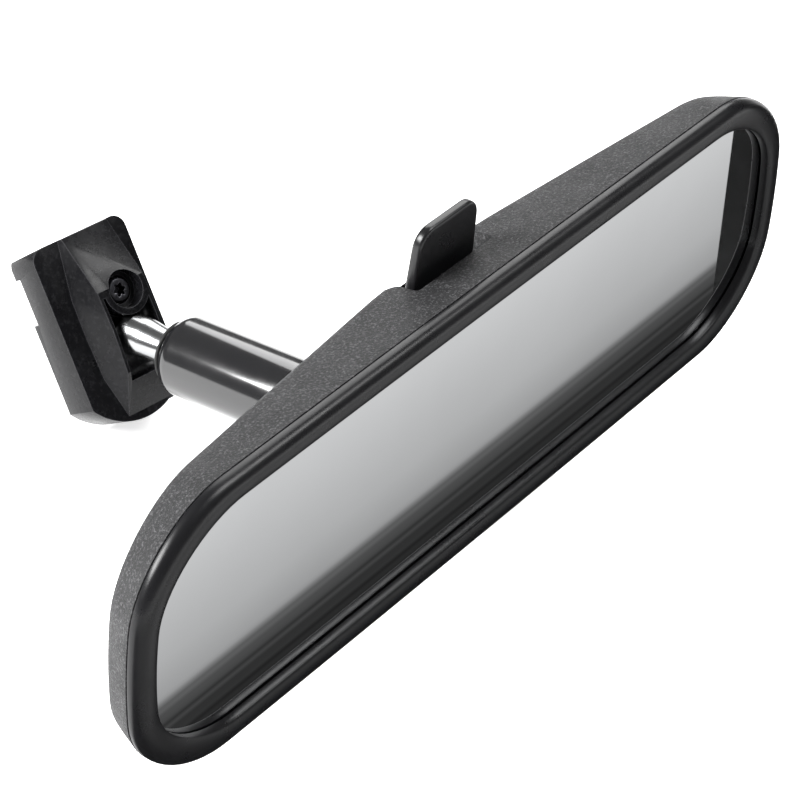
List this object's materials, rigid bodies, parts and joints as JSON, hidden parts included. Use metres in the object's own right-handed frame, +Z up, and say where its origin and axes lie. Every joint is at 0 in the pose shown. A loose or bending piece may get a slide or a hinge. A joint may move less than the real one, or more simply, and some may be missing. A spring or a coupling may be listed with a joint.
{
  "type": "interior rearview mirror",
  "caption": "Interior rearview mirror with a bezel-framed prismatic glass, a day/night thumb tab, a two-ball friction arm and a die-cast foot for a windscreen button.",
  "frame": {"origin": "centre of the foot's seat, the flat floor of its channel, where it rests on the windscreen button", "axes": "+X along the mirror head, -Y the side that the glass faces, +Y towards the windscreen, +Z up with the day/night tab on top, as the object is pictured; in a car it is turned over so that the tab hangs down"},
  "size_m": [0.2496, 0.1369, 0.1021],
  "materials": {
    "case_plastic": "fine-grained matte black moulding",
    "bezel_plastic": "smooth satin black moulding",
    "mirror": "silvered prismatic glass",
    "film": "grey anti-shatter film",
    "foam": "dark closed-cell foam",
    "frame_plastic": "satin black moulding",
    "tab_plastic": "semi-gloss black moulding",
    "steel": "zinc-plated steel",
    "spring_steel": "oiled spring steel",
    "chrome": "polished, bright plated",
    "arm_paint": "gloss black paint on steel tube",
    "foot_paint": "gloss black paint on die-cast zinc",
    "black_steel": "blackened steel",
    "seal_rubber": "matte black rubber",
    "nylon": "natural nylon"
  },
  "bodies": {
    "foot": {"mounting_foot": "foot_paint", "set_screw": "black_steel", "foot_ball_stud": "chrome"},
    "foot_liner": {"foot_side_ball_liner": "nylon"},
    "foot_cup": {"foot_side_seat_cup": "nylon"},
    "arm": {"arm_tube": "arm_paint", "arm_spring": "spring_steel", "case_side_seal_ring": "seal_rubber", "foot_side_seal_ring": "seal_rubber"},
    "case_cup": {"case_side_seat_cup": "nylon"},
    "case_liner": {"case_side_ball_liner": "nylon"},
    "bracket": {"pivot_bracket": "steel", "case_ball_stud": "chrome", "stud_nut": "steel", "hinge_pin": "steel", "toggle_pin": "steel", "leaf_spring": "spring_steel", "spring_rivet": "steel"},
    "case": {"rear_case": "case_plastic", "bezel": "bezel_plastic", "mirror_glass": "mirror", "shatter_film": "film", "foam_pad": "foam", "toggle_frame": "frame_plastic", "lever_pivot_pin": "steel", "frame_screw_1": "steel", "frame_screw_2": "steel", "frame_screw_3": "steel", "frame_screw_4": "steel"},
    "lever": {"toggle_lever": "tab_plastic"}
  },
  "joints": [
    {"name": "foot_ball_swing", "type": "hinge", "parent": "foot", "child": "foot_liner", "pos_m": [0.0006, -0.02753, 0.00932], "axis": [0, 0.0872, 0.9962], "range_deg": [-12, 12]},
    {"name": "foot_ball_tilt", "type": "hinge", "parent": "foot_liner", "child": "foot_cup", "pos_m": [0.0006, -0.02753, 0.00932], "axis": [1, 0, 0], "range_deg": [-12, 12]},
    {"name": "foot_ball_twist", "type": "hinge", "parent": "foot_cup", "child": "arm", "pos_m": [0.0006, -0.02753, 0.00932], "axis": [0, 0.9962, -0.0872], "continuous": true},
    {"name": "case_ball_twist", "type": "hinge", "parent": "arm", "child": "case_cup", "pos_m": [0.0006, -0.0867, 0.0145], "axis": [0, 0.9962, -0.0872], "continuous": true},
    {"name": "case_ball_swing", "type": "hinge", "parent": "case_cup", "child": "case_liner", "pos_m": [0.0006, -0.0867, 0.0145], "axis": [0, 0.0872, 0.9962], "range_deg": [-12, 12]},
    {"name": "case_ball_tilt", "type": "hinge", "parent": "case_liner", "child": "bracket", "pos_m": [0.0006, -0.0867, 0.0145], "axis": [1, 0, 0], "range_deg": [-12, 12]},
    {"name": "day_night_tilt", "type": "hinge", "parent": "bracket", "child": "case", "pos_m": [0.0036, -0.0968, 0.0067], "axis": [1, 0, 0], "range_deg": [-4.4, 0]},
    {"name": "tab_toggle", "type": "hinge", "parent": "case", "child": "lever", "pos_m": [0.0036, -0.0975, 0.0592], "axis": [1, 0, 0], "range_deg": [-26.5, 0]}
  ],
  "couplings": [
    {"joint": "tab_toggle", "follows": "day_night_tilt", "ratio": 6}
  ]
}
